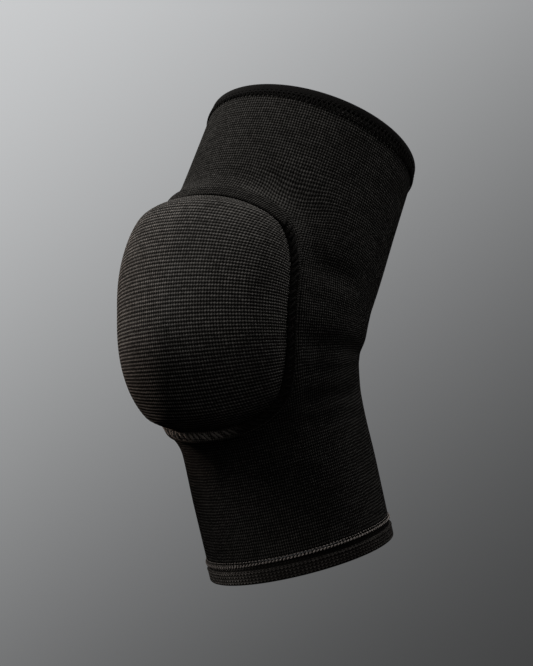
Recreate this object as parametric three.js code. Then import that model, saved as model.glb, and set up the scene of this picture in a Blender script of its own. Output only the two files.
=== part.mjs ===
import * as THREE from 'three';
import { ParametricGeometry } from 'three/addons/geometries/ParametricGeometry.js';

// A pull-on knee pad for wrestling, in the shape that it has on a bent knee.
// A knitted elastic sleeve carries a domed foam pad in a ribbed cover on its front.
// A sewn band runs round the pad, a folded binding closes the sleeve's top edge and
// a turned hem its bottom edge.
// Millimetres. +Z is up, -Y is the front of the knee, and the origin is the middle of the knee.
//
// A place on the sleeve is an angle round the leg (0 at the front, positive towards +X),
// a height along the leg's bent middle line (0 at the knee) and a lift off the sleeve's outer face.

const { degToRad, radToDeg, clamp, smoothstep } = THREE.MathUtils;

// Bend of the leg
const THIGH_TILT = degToRad(25.2);     // thigh, leaning back from the vertical
const SHIN_TILT = degToRad(18.6);      // shin, leaning back from the vertical
const BEND_HALF_LENGTH = 35;           // half the stretch of the middle line that bends
const THIGH_TURN = 0.88;               // share of the thigh's tilt that its cross sections take
const SHIN_TURN = 1.06;                // and the same for the shin

// Cross sections of the sleeve's outer face, at even steps from the hem to the top edge
const LEG_SECTIONS = [
  { height: -140, halfWidth: 54.3, halfDepth: 56.6 },
  { height: -95, halfWidth: 54.4, halfDepth: 57.2 },
  { height: -50, halfWidth: 54.8, halfDepth: 57.6 },
  { height: -5, halfWidth: 62.9, halfDepth: 66.1 },
  { height: 40, halfWidth: 64.3, halfDepth: 67.5 },
  { height: 85, halfWidth: 63.3, halfDepth: 66.5 },
  { height: 130, halfWidth: 62.5, halfDepth: 65.7 },
];
const BOTTOM = LEG_SECTIONS.at(0).height;
const TOP = LEG_SECTIONS.at(-1).height;

// Walls and gaps
const WALL = 2.2;                      // knitted wall
const GAP = 0.5;                       // between neighbouring pieces

// Pad on the front of the knee
const PAD_HALF_ANGLE = degToRad(59.4); // from the front to the pad's side edge
const PAD_LOW = -46.5;                 // heights of its bottom and top edges
const PAD_HIGH = 48;
const PAD_MIDDLE = (PAD_LOW + PAD_HIGH) / 2;
const PAD_SQUARENESS = 3.3;            // exponent of its rounded outline, 2 for an ellipse
const PAD_EDGE = 1.2;                  // thickness at the edge
const PAD_DOME = 15.4;                 // rise of the dome over that edge
const PAD_FLATNESS = 4.2;              // exponents of the dome: how flat its middle is
const PAD_SHOULDER = 1.15;             // and how full its shoulder is
const PAD_UPPER_FULLNESS = 3;          // how much flatter the dome runs towards its upper corners
const PAD_LOWER_FULLNESS = 1.5;        // and towards its lower corners
const PAD_SAG = 0.4;                   // drop of the middle under its own weight
const PAD_CELLS = 18;                  // faces across the pad
const FRONT_RADIUS = 65;               // of the sleeve under the pad

// Sewn band round the pad, and its cross section in shares of its width and height
const SEAM_WIDTH = 6.8;
const SEAM_HEIGHT = 2.4;
const SEAM_STEPS = 64;
const SEAM_SECTION = [
  { out: 1, up: 0 },
  { out: 1, up: 0.4 },
  { out: 0.65, up: 1 },
  { out: 0.25, up: 1 },
  { out: 0, up: 0.6 },
  { out: 0, up: 0 },
];

// Sleeve pulled up to the pad's seam
const FLARE_HEIGHT = 4.2;
const FLARE_WIDTH = 18;

// Slanted creases across both sides of the knee: height and its change with each radian round,
// depth, width, and the angle in degrees where the crease ends
const CREASES = [
  { height: 24.5, slant: 0, depth: 2.6, width: 8, end: 118 },
  { height: 7, slant: -4, depth: 0.5, width: 5, end: 130 },
  { height: -15.6, slant: -8.6, depth: 1.8, width: 7, end: 150 },
  { height: -29, slant: -8.6, depth: 0.6, width: 3.5, end: 140 },
  { height: -44.3, slant: -8.6, depth: 1.2, width: 4.2, end: 140 },
  { height: -58, slant: -8.6, depth: 0.6, width: 5, end: 130 },
];
const CREASE_MIDDLE = 80;              // angle where they have those heights
const CREASE_START = 60;               // angles where they start
const CREASE_FULL = 72;                // and where they are full
const CREASE_FADE = 38;                // how far before their ends they start to fade

// Binding folded over the top edge
const BINDING_HEIGHT = 6;
const BINDING_LIFT = 0.5;              // stands proud of the sleeve on both faces
const BINDING_THICKNESS = 0.8;

// Turned hem at the bottom edge: a ridge, a groove and a band, from the sleeve down
const HEM_HEIGHT = 12.6;
const HEM_LIFT = 0.8;
const HEM_RIDGE = 1.8;
const HEM_GROOVE_DEPTH = 0.9;

// Faces round the leg, and rows of faces along it
const AROUND = 40;
const KNEE_ROW = 4.6;                  // height of a row where the creases are
const LEG_ROW = 9.5;                   // height of a row elsewhere
const KNEE_ROWS_END = 66;

const sectionCurve = new THREE.CatmullRomCurve3(
  LEG_SECTIONS.map((row) => new THREE.Vector3(row.height, row.halfWidth, row.halfDepth)),
  false, 'catmullrom', 0.5);

/** Half width and half depth of the sleeve's outer face at a height. */
function legSection(height) {
  const share = clamp((height - BOTTOM) / (TOP - BOTTOM), 0, 1);
  const point = sectionCurve.getPoint(share);
  return { halfWidth: point.y, halfDepth: point.z };
}

/** Point of the leg's middle line at a height, and its lean there. */
function legCentre(height) {
  const bendRadius = 2 * BEND_HALF_LENGTH / (THIGH_TILT + SHIN_TILT);
  const middleTilt = (THIGH_TILT - SHIN_TILT) / 2;
  const bent = clamp(height, -BEND_HALF_LENGTH, BEND_HALF_LENGTH);
  const tilt = middleTilt + bent / bendRadius;
  const straight = height - bent;
  return {
    y: bendRadius * (Math.cos(middleTilt) - Math.cos(tilt)) + straight * Math.sin(tilt),
    z: bendRadius * (Math.sin(tilt) - Math.sin(middleTilt)) + straight * Math.cos(tilt),
    tilt,
  };
}

/** Share of the way from the pad's middle to its rounded outline, for shares across and up. */
function roundedReach(across, up) {
  return (Math.abs(across) ** PAD_SQUARENESS + Math.abs(up) ** PAD_SQUARENESS) ** (1 / PAD_SQUARENESS);
}

/** Half sizes of the pad's outline, grown by a margin, as an angle and a height. */
function padHalfSizes(margin) {
  return {
    halfAngle: PAD_HALF_ANGLE + margin / FRONT_RADIUS,
    halfHeight: (PAD_HIGH - PAD_LOW) / 2 + margin,
  };
}

/** Angle and height of a place on the pad from its shares across and up, each from -1 to 1. */
function padPlace(across, up, margin) {
  const { halfAngle, halfHeight } = padHalfSizes(margin);
  return { angle: across * halfAngle, height: PAD_MIDDLE + up * halfHeight };
}

/** How far a place lies from the pad's middle: 1 on an outline grown by a margin. */
function padReach(angle, height, margin) {
  const { halfAngle, halfHeight } = padHalfSizes(margin);
  return roundedReach(angle / halfAngle, (height - PAD_MIDDLE) / halfHeight);
}

/** Rise of the sleeve's cloth off the plain leg: the flare at the pad and the creases. */
function relief(angle, height) {
  const side = Math.abs(Math.atan2(Math.sin(angle), Math.cos(angle)));
  const reach = padReach(side, height, SEAM_WIDTH + 2 * GAP);
  const away = clamp((reach - 1) * FRONT_RADIUS / FLARE_WIDTH, 0, 1);
  let rise = FLARE_HEIGHT * (1 - away) ** 2;
  const degrees = radToDeg(side);
  for (const crease of CREASES) {
    const strength = smoothstep(degrees, CREASE_START, CREASE_FULL)
      * (1 - smoothstep(degrees, crease.end - CREASE_FADE, crease.end));
    const middle = crease.height + crease.slant * degToRad(degrees - CREASE_MIDDLE);
    rise -= crease.depth * strength * Math.exp(-(((height - middle) / crease.width) ** 2));
  }
  return rise;
}

/** Puts target at a place on the sleeve. */
function onLeg(angle, height, lift, target) {
  const { halfWidth, halfDepth } = legSection(height);
  const { y, z, tilt } = legCentre(height);
  const off = lift + relief(angle, height);
  const depth = -(halfDepth + off) * Math.cos(angle);
  const lean = tilt * (tilt > 0 ? THIGH_TURN : SHIN_TURN);
  return target.set((halfWidth + off) * Math.sin(angle), y + depth * Math.cos(lean), z - depth * Math.sin(lean));
}

/** A ring round the leg: a closed outline of { height, lift } rows, carried once round. */
function ringGeometry(outline) {
  const place = (u, v, target) => {
    const row = outline[Math.round(v * outline.length) % outline.length];
    const angle = 2 * Math.PI * (Math.round(u * AROUND) % AROUND) / AROUND;
    onLeg(angle, row.height, row.lift, target);
  };
  return new ParametricGeometry(place, AROUND, outline.length);
}

/** Heights of the sleeve's rows, close together at the knee. */
function sleeveRows(low, high) {
  const stretches = [
    { from: low, to: -KNEE_ROWS_END, row: LEG_ROW },
    { from: -KNEE_ROWS_END, to: KNEE_ROWS_END, row: KNEE_ROW },
    { from: KNEE_ROWS_END, to: high, row: LEG_ROW },
  ];
  const heights = [];
  for (const { from, to, row } of stretches) {
    const count = Math.round((to - from) / row);
    for (let step = 0; step < count; step += 1) {
      heights.push(from + (to - from) * step / count);
    }
  }
  return [...heights, high];
}

/** Sleeve wall, pinched thinner at the top where the binding grips it. */
function sleeveGeometry() {
  const low = BOTTOM + HEM_HEIGHT + GAP;
  const gripLow = TOP - BINDING_HEIGHT - GAP;
  const gripHigh = TOP - BINDING_THICKNESS - GAP;
  const pinch = BINDING_THICKNESS - BINDING_LIFT + GAP;
  const rows = [
    ...sleeveRows(low, gripLow - pinch).map((height) => ({ height, pinched: 0 })),
    { height: gripLow, pinched: pinch },
    { height: gripHigh, pinched: pinch },
  ];
  const outer = rows.map(({ height, pinched }) => ({ height, lift: -pinched }));
  const inner = rows.map(({ height, pinched }) => ({ height, lift: pinched - WALL }));
  return ringGeometry([...outer, ...inner.reverse()]);
}

/** Binding: a narrow strip folded over the sleeve's top edge, open downwards. */
function topBindingGeometry() {
  const low = TOP - BINDING_HEIGHT;
  const slotTop = TOP - BINDING_THICKNESS;
  const outside = BINDING_LIFT;
  const inside = -WALL - BINDING_LIFT;
  const fold = BINDING_THICKNESS;
  return ringGeometry([
    { height: low, lift: outside - fold },
    { height: low, lift: outside },
    { height: TOP - fold, lift: outside },
    { height: TOP, lift: outside - fold },
    { height: TOP, lift: inside + fold },
    { height: TOP - fold, lift: inside },
    { height: low, lift: inside },
    { height: low, lift: inside + fold },
    { height: slotTop, lift: inside + fold },
    { height: slotTop, lift: outside - fold },
  ]);
}

/** Hem: the ridge, the groove and the band on the outside, and a plain inside. */
function bottomHemGeometry() {
  const high = BOTTOM + HEM_HEIGHT;
  const ridgeLow = high - HEM_RIDGE;
  const bandHigh = ridgeLow - HEM_RIDGE;
  const inside = -WALL - HEM_LIFT;
  return ringGeometry([
    { height: BOTTOM, lift: inside + HEM_LIFT },
    { height: BOTTOM, lift: 0 },
    { height: BOTTOM + HEM_LIFT, lift: HEM_LIFT },
    { height: bandHigh, lift: HEM_LIFT },
    { height: (bandHigh + ridgeLow) / 2, lift: HEM_LIFT - HEM_GROOVE_DEPTH },
    { height: ridgeLow, lift: HEM_LIFT },
    { height: high - HEM_RIDGE / 2, lift: HEM_LIFT },
    { height: high, lift: 0 },
    { height: high, lift: -WALL },
    { height: bandHigh, lift: inside },
    { height: BOTTOM + HEM_LIFT, lift: inside },
  ]);
}

/** Pad: a square block whose outline is rounded, whose back lies on the sleeve and whose front is domed. */
function kneePadGeometry() {
  const geometry = new THREE.BoxGeometry(2, 2, 2, PAD_CELLS, PAD_CELLS, 1);
  const position = geometry.attributes.position;
  const point = new THREE.Vector3();
  for (let index = 0; index < position.count; index += 1) {
    point.fromBufferAttribute(position, index);
    const isFront = point.z > 0;
    const square = Math.max(Math.abs(point.x), Math.abs(point.y));
    // Rows of faces crowd towards the steep edge of the dome
    const reach = isFront ? Math.sin(square * Math.PI / 2) : square;
    const scale = square > 0 ? reach / roundedReach(point.x, point.y) : 0;
    const { angle, height } = padPlace(point.x * scale, point.y * scale, 0);
    const slanted = square > 0 ? 2 * Math.abs(point.x * point.y) / (point.x ** 2 + point.y ** 2) : 0;
    const fullness = point.y > 0 ? PAD_UPPER_FULLNESS : PAD_LOWER_FULLNESS;
    const swell = Math.max(0, 1 - reach ** (PAD_FLATNESS + fullness * slanted ** 2));
    const dome = PAD_EDGE + PAD_DOME * swell ** (1 / PAD_SHOULDER);
    onLeg(angle, height, GAP + (isFront ? dome : 0), point);
    point.z -= isFront ? PAD_SAG * swell : 0;
    position.setXYZ(index, point.x, point.y, point.z);
  }
  return geometry;
}

/** Seam: a low rounded band carried once round the pad. */
function padSeamGeometry() {
  const place = (u, v, target) => {
    const { out, up } = SEAM_SECTION[Math.round(v * SEAM_SECTION.length) % SEAM_SECTION.length];
    const turn = 2 * Math.PI * (Math.round(u * SEAM_STEPS) % SEAM_STEPS) / SEAM_STEPS;
    const reach = roundedReach(Math.cos(turn), Math.sin(turn));
    const margin = GAP + out * SEAM_WIDTH;
    const { angle, height } = padPlace(Math.cos(turn) / reach, Math.sin(turn) / reach, margin);
    onLeg(angle, height, GAP + up * SEAM_HEIGHT, target);
  };
  return new ParametricGeometry(place, SEAM_STEPS, SEAM_SECTION.length);
}

/** One named piece with its own dull fabric finish. */
function piece(name, geometry, color, roughness) {
  const material = new THREE.MeshStandardMaterial({ color, roughness, metalness: 0 });
  const mesh = new THREE.Mesh(geometry, material);
  mesh.name = name;
  return mesh;
}

const kneePadAssembly = new THREE.Group();
kneePadAssembly.add(
  piece('sleeve', sleeveGeometry(), 0x1b1a19, 0.9),
  piece('top_binding', topBindingGeometry(), 0x171615, 0.8),
  piece('bottom_hem', bottomHemGeometry(), 0x1e1d1b, 0.85),
  piece('knee_pad', kneePadGeometry(), 0x2b2927, 0.85),
  piece('pad_seam', padSeamGeometry(), 0x242220, 0.8),
);

export default kneePadAssembly;
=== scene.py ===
import math

import bmesh
import bpy
import numpy as np
from bpy.props import FloatProperty, FloatVectorProperty, IntProperty, PointerProperty
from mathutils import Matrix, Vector
from mathutils.kdtree import KDTree


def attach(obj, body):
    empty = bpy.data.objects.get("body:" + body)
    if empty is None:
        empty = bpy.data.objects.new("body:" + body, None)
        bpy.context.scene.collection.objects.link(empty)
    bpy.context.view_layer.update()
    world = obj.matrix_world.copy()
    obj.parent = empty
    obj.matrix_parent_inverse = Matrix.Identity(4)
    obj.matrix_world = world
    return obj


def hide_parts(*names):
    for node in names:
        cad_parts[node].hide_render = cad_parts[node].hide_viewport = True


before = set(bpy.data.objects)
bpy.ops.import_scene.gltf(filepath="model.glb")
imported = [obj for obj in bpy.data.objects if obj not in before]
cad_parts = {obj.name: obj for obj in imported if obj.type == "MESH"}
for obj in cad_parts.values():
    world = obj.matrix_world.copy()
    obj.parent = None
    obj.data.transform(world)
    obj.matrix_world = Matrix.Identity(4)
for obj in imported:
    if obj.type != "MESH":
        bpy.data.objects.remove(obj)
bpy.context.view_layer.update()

bl_info = {
    "name": "Bent Knee Pad",
    "version": (1, 0, 0),
    "blender": (4, 5, 0),
    "location": "3D View > Sidebar > Knee Pad",
    "description": "Builds a pull-on wrestling knee pad in the shape that it has on a bent knee",
    "category": "Add Mesh",
}

MM = 0.001
TINY = 1e-9                                 # keeps a divisor off 0

# A place on the sleeve is an angle round the leg (0 at the front, positive towards +X), a height along
# the leg's bent middle line (0 at the knee) and a lift off the sleeve's outer face, in metres.

# Cross sections of the sleeve's outer face, at even steps from the hem to the top edge: height, half width
# and half depth in millimetres
LEG_SECTIONS = np.array(
    [
        (-140, 54.3, 56.6),
        (-95, 54.4, 57.2),
        (-50, 54.8, 57.6),
        (-5, 62.9, 66.1),
        (40, 64.3, 67.5),
        (85, 63.3, 66.5),
        (130, 62.5, 65.7),
    ]
) * MM
LEG_HEIGHTS, LEG_HALF_WIDTHS, LEG_HALF_DEPTHS = LEG_SECTIONS.T
BOTTOM, TOP = LEG_HEIGHTS[0], LEG_HEIGHTS[-1]

# Creases across both sides of the knee: height and its change with each radian round, depth and width,
# all in millimetres, and the angle in degrees where the crease ends
CREASES = (
    (24.5, 0, 2.6, 8, 118),
    (7, -4, 0.5, 5, 130),
    (-15.6, -8.6, 1.8, 7, 150),
    (-29, -8.6, 0.6, 3.5, 140),
    (-44.3, -8.6, 1.2, 4.2, 140),
    (-58, -8.6, 0.6, 5, 130),
)
CREASE_MIDDLE = math.radians(80)            # where they have those heights
CREASE_START = np.radians((60, 72))         # where they start and where they are full
CREASE_FADE = math.radians(38)              # how far before their ends they start to fade

SKEW_SPAN = (-0.4, 0.9)                     # shares across the pad between which its skew grows
CORNER = 0.85                               # share of the pad's reach at which its upper corners lie

# Where light is painted on the pad's seam, at its lower left: at less than this x and less than this z,
# fading in over a distance
PAINTED_LIGHT_BELOW = np.array((30, -30)) * MM
PAINTED_LIGHT_FADE = 20 * MM

STITCH = np.linspace(0, 1, 7)               # shares along a stitch where its thread has points
THREAD_TAPER = 0.4                          # exponent of a thread's taper, which blunts its ends

# How far the light on a knit varies round its average
LOOP_SHADES = 0.6                           # from loop to loop
ROW_STREAKS = 1.2                           # in streaks along the rows
WEAR = 0.8                                  # in broad patches
FIBRES = 1.0                                # along the yarn
# Shares of its colour that a finish has in its dark and its pale places
# In the knit, the dark places are the gaps between the loops: partly open holes and partly painted shade
KNIT_SHADES = (0.03, 1.0)
THREAD_SHADES = (0.3, 1.6)
TAPE_SHADES = (0.5, 1.6)


# Settings

def number_setting(name, description, default):
    """A setting without a unit."""
    return FloatProperty(name=name, description=description, default=default)


def count_setting(name, description, default):
    """A setting of a whole number."""
    return IntProperty(name=name, description=description, default=default)


def length_setting(name, description, millimetres):
    """A setting of a length."""
    return FloatProperty(name=name, description=description, default=millimetres * MM, unit="LENGTH")


def angle_setting(name, description, degrees):
    """A setting of an angle."""
    return FloatProperty(
        name=name, description=description, default=math.radians(degrees), subtype="ANGLE")


def colour_setting(name, description, default):
    """A setting of a linear colour."""
    return FloatVectorProperty(
        name=name, description=description, default=default, subtype="COLOR", min=0, max=1)


class LegForm(bpy.types.PropertyGroup):
    """Bend of the leg that fills the sleeve."""

    thigh_tilt: angle_setting("Thigh Tilt", "Lean of the thigh back from the vertical", 25.2)
    shin_tilt: angle_setting("Shin Tilt", "Lean of the shin back from the vertical", 18.6)
    bend_half_length: length_setting("Bend", "Half the stretch of the middle line that bends", 35)
    thigh_turn: number_setting("Thigh Turn", "Share of the thigh's tilt that its cross sections take", 0.88)
    shin_turn: number_setting("Shin Turn", "Share of the shin's tilt that its cross sections take", 1.06)


class SleeveForm(bpy.types.PropertyGroup):
    """Knitted tube and its two finished edges."""

    wall: length_setting("Wall", "Thickness of the knit", 2.2)
    gap: length_setting("Gap", "Clearance between neighbouring pieces", 0.5)
    flare_height: length_setting("Flare", "Rise of the cloth where it is pulled up to the pad's seam", 4.2)
    flare_width: length_setting("Flare Width", "Width of that rise", 18)
    wales: count_setting("Wales", "Columns of knit round the sleeve", 250)
    hem_wales: count_setting("Hem Wales", "Columns of knit round the hem", 150)
    course_pitch: length_setting(
        "Course Pitch", "From one row of knit to the next on the thigh and shin", 1.8)
    knee_pitch: length_setting("Knee Pitch", "From one row of knit to the next at the bend", 1.45)
    corner_pull: length_setting(
        "Corner Pull", "How far the rows are drawn down to the pad's upper corners", 16)
    corner_reach: length_setting("Corner Reach", "Radius of that pull", 28)
    knee_reach: length_setting("Knee Reach", "Half the stretch of closer rows at the bend", 55)
    binding_height: length_setting("Binding", "Height of the tape folded over the top edge", 6)
    binding_lift: length_setting("Binding Lift", "How far the tape stands proud of the knit", 0.5)
    binding_thickness: length_setting("Binding Thickness", "Thickness of the tape", 0.8)
    hem_height: length_setting("Hem", "Height of the turned hem", 12.6)
    hem_lift: length_setting("Hem Lift", "How far the hem stands proud of the knit", 0.8)
    hem_ridge: length_setting("Hem Ridge", "Height of the ridge along the hem's upper edge", 1.8)
    hem_groove: length_setting("Hem Groove", "Height of the groove under the ridge", 3.2)


class PadForm(bpy.types.PropertyGroup):
    """Domed foam pad in its ribbed cover, and the seam round it."""

    half_angle: angle_setting("Half Angle", "From the front of the knee to the pad's side edge", 59.4)
    low: length_setting("Low Edge", "Height of the pad's bottom edge", -46.5)
    high: length_setting("High Edge", "Height of the pad's top edge", 47.4)
    squareness: number_setting("Squareness", "Exponent of the rounded outline, 2 for an ellipse", 3.3)
    skew: length_setting(
        "Skew", "How far the upper corner at +X is drawn down and the opposite one up", 4)
    edge: length_setting("Edge", "Thickness at the edge", 0.9)
    dome: length_setting("Dome", "Rise of the dome over the edge", 15.6)
    flatness: number_setting("Flatness", "Exponent that sets how flat the middle is", 4.2)
    shoulder: number_setting("Shoulder", "Exponent that sets how full the shoulder is", 1.15)
    upper_fullness: number_setting(
        "Upper Fullness", "How much flatter the dome runs towards its upper corners", 3.0)
    lower_fullness: number_setting(
        "Lower Fullness", "How much flatter the dome runs towards its lower corners", 1.5)
    sag: length_setting("Sag", "Drop of the middle under its own weight", 0.4)
    front_radius: length_setting("Front Radius", "Radius of the sleeve under the pad", 65)
    rib_pitch: length_setting("Rib Pitch", "From one rib of the cover to the next", 2.25)
    wale_pitch: length_setting("Wale Pitch", "From one bead of a rib to the next", 1.8)
    rib_height: length_setting("Rib Height", "How far the ribs stand out", 0.12)
    seam_width: length_setting("Seam Width", "Width of the sewn band round the pad", 6.8)
    seam_height: length_setting("Seam Height", "Height of the sewn band", 2.4)
    stitch_pitch: length_setting("Stitch Pitch", "From one stitch of the band to the next", 4.2)


class Finishes(bpy.types.PropertyGroup):
    """Colours of the yarns, the threads and the tape."""

    sleeve: colour_setting("Sleeve Yarn", "Lit face of the sleeve's yarn", (0.0280, 0.0268, 0.0253))
    pad: colour_setting("Pad Yarn", "Lit face of the pad cover's yarn", (0.0600, 0.0572, 0.0540))
    # Hem Yarn is the hem's face towards -X, where painted light pales it; the hem's tone darkens it
    # elsewhere
    hem: colour_setting("Hem Yarn", "Lit face of the hem's yarn", (0.105, 0.0968, 0.0898))
    hem_thread: colour_setting("Hem Thread", "Thread of the hem's ridge", (0.122, 0.109, 0.102))
    binding: colour_setting("Binding Tape", "Folded tape on the top edge", (0.0040, 0.0038, 0.0037))
    lip: colour_setting(
        "Lip Yarn", "Lit face of the sleeve's yarn along the pad's seam", (0.0305, 0.0292, 0.0276))
    thread: colour_setting("Sewing Thread", "Thread of the seams", (0.0058, 0.0055, 0.0053))
    # Pale thread colour painted where light falls on the pad's seam, at its lower left
    painted_lit_thread: colour_setting(
        "Painted Lit Thread", "Thread of the pad's seam where light is painted on it, at its lower left", (0.095, 0.0870, 0.0800))


class StageForm(bpy.types.PropertyGroup):
    """Camera, floor and backdrop."""

    azimuth: angle_setting("Azimuth", "Camera's angle from the front towards +X", 44)
    elevation: angle_setting("Elevation", "Camera's angle over the horizon", -8.2)
    distance: length_setting("Distance", "From the camera to the knee", 1600)
    lens: number_setting("Lens", "Focal length in millimetres", 146.0)
    aim_right: length_setting("Aim Right", "Middle of the picture, to the right of the knee", 5.3)
    aim_up: length_setting("Aim Up", "Middle of the picture, above the knee", -3.2)
    floor: length_setting("Floor", "Height of the floor", -320)
    room: length_setting("Room", "Radius of the round backdrop", 3600)


class KneePadSettings(bpy.types.PropertyGroup):
    """All sizes and colours of the knee pad and its stage."""

    leg: PointerProperty(type=LegForm, name="Leg", description="Bend of the leg")
    sleeve: PointerProperty(type=SleeveForm, name="Sleeve", description="Knitted tube")
    pad: PointerProperty(type=PadForm, name="Pad", description="Foam pad and seam")
    finishes: PointerProperty(type=Finishes, name="Finishes", description="Colours")
    stage: PointerProperty(type=StageForm, name="Stage", description="Camera and backdrop")


# Shape of the leg and of the cloth on it

def smooth_step(value, start, end):
    """0 before start, 1 after end and smooth between them."""
    share = np.clip((value - start) / (end - start), 0, 1)
    return share * share * (3 - 2 * share)


def leg_section(height, values):
    """A section's size at heights, on a smooth curve through the values of the table."""
    ends = np.concatenate([[2 * values[0] - values[1]], values, [2 * values[-1] - values[-2]]])
    place = np.clip((height - BOTTOM) / (TOP - BOTTOM), 0, 1) * (len(values) - 1)
    index = np.minimum(place.astype(int), len(values) - 2)
    share = place - index
    before, start, end, after = (ends[index + step] for step in range(4))
    bend = 2 * before - 5 * start + 4 * end - after
    twist = 3 * (start - end) + after - before
    return start + share / 2 * (end - before + share * (bend + share * twist))


def leg_centre(leg, height):
    """Y and Z of the leg's middle line at heights, and its lean there."""
    bend_radius = 2 * leg.bend_half_length / (leg.thigh_tilt + leg.shin_tilt)
    middle_tilt = (leg.thigh_tilt - leg.shin_tilt) / 2
    bent = np.clip(height, -leg.bend_half_length, leg.bend_half_length)
    tilt = middle_tilt + bent / bend_radius
    straight = height - bent
    y = bend_radius * (math.cos(middle_tilt) - np.cos(tilt)) + straight * np.sin(tilt)
    z = bend_radius * (np.sin(tilt) - math.sin(middle_tilt)) + straight * np.cos(tilt)
    return y, z, tilt


def pad_middle(pad):
    """Height of the pad's middle."""
    return (pad.low + pad.high) / 2


def pad_half_sizes(pad, margin):
    """Half angle and half height of the pad's outline, grown by a margin."""
    return pad.half_angle + margin / pad.front_radius, (pad.high - pad.low) / 2 + margin


def rounded_reach(pad, across, up):
    """Share of the way from the pad's middle to its rounded outline, for shares across and up."""
    return (np.abs(across) ** pad.squareness + np.abs(up) ** pad.squareness) ** (1 / pad.squareness)


def pad_droop(pad, across, up):
    """How far the pad's outline is drawn down by its skew, at shares across and up."""
    upper = smooth_step(across, *SKEW_SPAN) * smooth_step(up, 0, 1)
    lower = smooth_step(-across, *SKEW_SPAN) * smooth_step(-up, 0, 1)
    return pad.skew * (upper - lower)


def pad_place(pad, across, up, margin):
    """Angle and height of a place on the pad from its shares across and up, each from -1 to 1."""
    half_angle, half_height = pad_half_sizes(pad, margin)
    return across * half_angle, pad_middle(pad) + up * half_height - pad_droop(pad, across, up)


def flare(settings, angle, height):
    """How far the sleeve's cloth is pulled up to the pad's seam: 1 at the seam, 0 away from it."""
    pad, sleeve = settings.pad, settings.sleeve
    turned = np.arctan2(np.sin(angle), np.cos(angle))
    half_angle, half_height = pad_half_sizes(pad, pad.seam_width + 2 * sleeve.gap)
    across, up = turned / half_angle, (height - pad_middle(pad)) / half_height
    reach = rounded_reach(pad, across, up + pad_droop(pad, across, up) / half_height)
    away = np.clip((reach - 1) * pad.front_radius / sleeve.flare_width, 0, 1)
    return (1 - away) ** 2


def relief(settings, angle, height):
    """Rise of the sleeve's cloth off the plain leg: the flare at the pad and the creases."""
    side = np.abs(np.arctan2(np.sin(angle), np.cos(angle)))
    rise = settings.sleeve.flare_height * flare(settings, angle, height)
    start = smooth_step(side, *CREASE_START)
    for crease_height, slant, depth, width, end in CREASES:
        strength = start * (1 - smooth_step(side, math.radians(end) - CREASE_FADE, math.radians(end)))
        above = height / MM - crease_height - slant * (side - CREASE_MIDDLE)
        rise = rise - depth * MM * strength * np.exp(-((above / width) ** 2))
    return rise


def on_leg(settings, angle, height, lift):
    """Points at places on the sleeve, as an array with one row a point."""
    leg = settings.leg
    y, z, tilt = leg_centre(leg, height)
    off = lift + relief(settings, angle, height)
    depth = -(leg_section(height, LEG_HALF_DEPTHS) + off) * np.cos(angle)
    lean = tilt * np.where(tilt > 0, leg.thigh_turn, leg.shin_turn)
    x = (leg_section(height, LEG_HALF_WIDTHS) + off) * np.sin(angle)
    return np.stack([x, y + depth * np.cos(lean), z - depth * np.sin(lean)], axis=-1)


# Meshes

def bent_grid(columns, rows, place):
    """A grid bent into shape.

    place turns shares across and up, from 0 to 1, into points, into places on the cloth, which become the
    UV map, and into the yarn's tone, which becomes an attribute.
    """
    mesh = bmesh.new()
    cloth_map = mesh.loops.layers.uv.new("Cloth")
    tones = mesh.verts.layers.float.new("Tone")
    bmesh.ops.create_grid(mesh, x_segments=columns, y_segments=rows, size=0.5)
    shares = np.array([vertex.co for vertex in mesh.verts])[:, :2] + 0.5
    points, cloth, tone = (values.tolist() for values in place(shares[:, 0], shares[:, 1]))
    mesh.verts.index_update()
    for vertex in mesh.verts:
        vertex.co = points[vertex.index]
        vertex[tones] = tone[vertex.index]
    for face in mesh.faces:
        for loop in face.loops:
            loop[cloth_map].uv = cloth[loop.vert.index]
    return mesh


def close_mesh(mesh):
    """Joins edges that lie on each other and points all faces outwards."""
    bmesh.ops.remove_doubles(mesh, verts=mesh.verts, dist=1e-6)
    bmesh.ops.recalc_face_normals(mesh, faces=mesh.faces)
    return mesh


def reached_lengths(points):
    """Length reached at each point of a line, starting from 0."""
    steps = np.linalg.norm(np.diff(points, axis=0), axis=1)
    return np.concatenate([[0], np.cumsum(steps)])


def course_pitch(sleeve, height):
    """From one row of knit to the next, which lie closer together at the bend of the knee."""
    closer = sleeve.course_pitch - sleeve.knee_pitch
    return sleeve.course_pitch - closer * np.exp(-((height / sleeve.knee_reach) ** 2))


def corner_pull(settings, angle, height):
    """How far the rows of knit are drawn down towards the pad's upper corners."""
    pad, sleeve = settings.pad, settings.sleeve
    side = np.pi - np.abs(np.pi - angle)
    away = np.hypot((side - CORNER * pad.half_angle) * pad.front_radius, height - CORNER * pad.high)
    return sleeve.corner_pull * np.exp(-((away / sleeve.corner_reach) ** 2))


def even_tone(angle, height):
    """The same tone of yarn everywhere."""
    return np.ones_like(height)


def ring_grid(settings, outline, columns, wales, tone=even_tone):
    """A closed ring round the leg, from an outline of (height, lift) rows that runs round its section.

    tone gives the yarn's tone at angles and heights.
    """
    sleeve = settings.sleeve
    outline = np.array([*outline, outline[0]])
    steps = np.linalg.norm(np.diff(outline, axis=0), axis=1) / course_pitch(sleeve, outline[1:, 0])
    courses = np.concatenate([[0], np.cumsum(steps)])

    def place(across, up):
        row = np.rint(up * (len(outline) - 1)).astype(int)
        height, lift = outline[row].T
        angle = 2 * np.pi * (across % 1)
        pulled = corner_pull(settings, angle, height) / sleeve.course_pitch
        cloth = np.stack([across * wales, courses[row] + pulled], axis=-1)
        return on_leg(settings, angle, height, lift), cloth, tone(angle, height)

    return close_mesh(bent_grid(columns, len(outline) - 1, place))


def arc(height, lift, radius, start, end, steps):
    """(height, lift) rows on an arc, with angles in degrees from straight out towards straight up."""
    angles = np.radians(np.linspace(start, end, steps))
    return list(zip(height + radius * np.sin(angles), lift + radius * np.cos(angles)))


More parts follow.
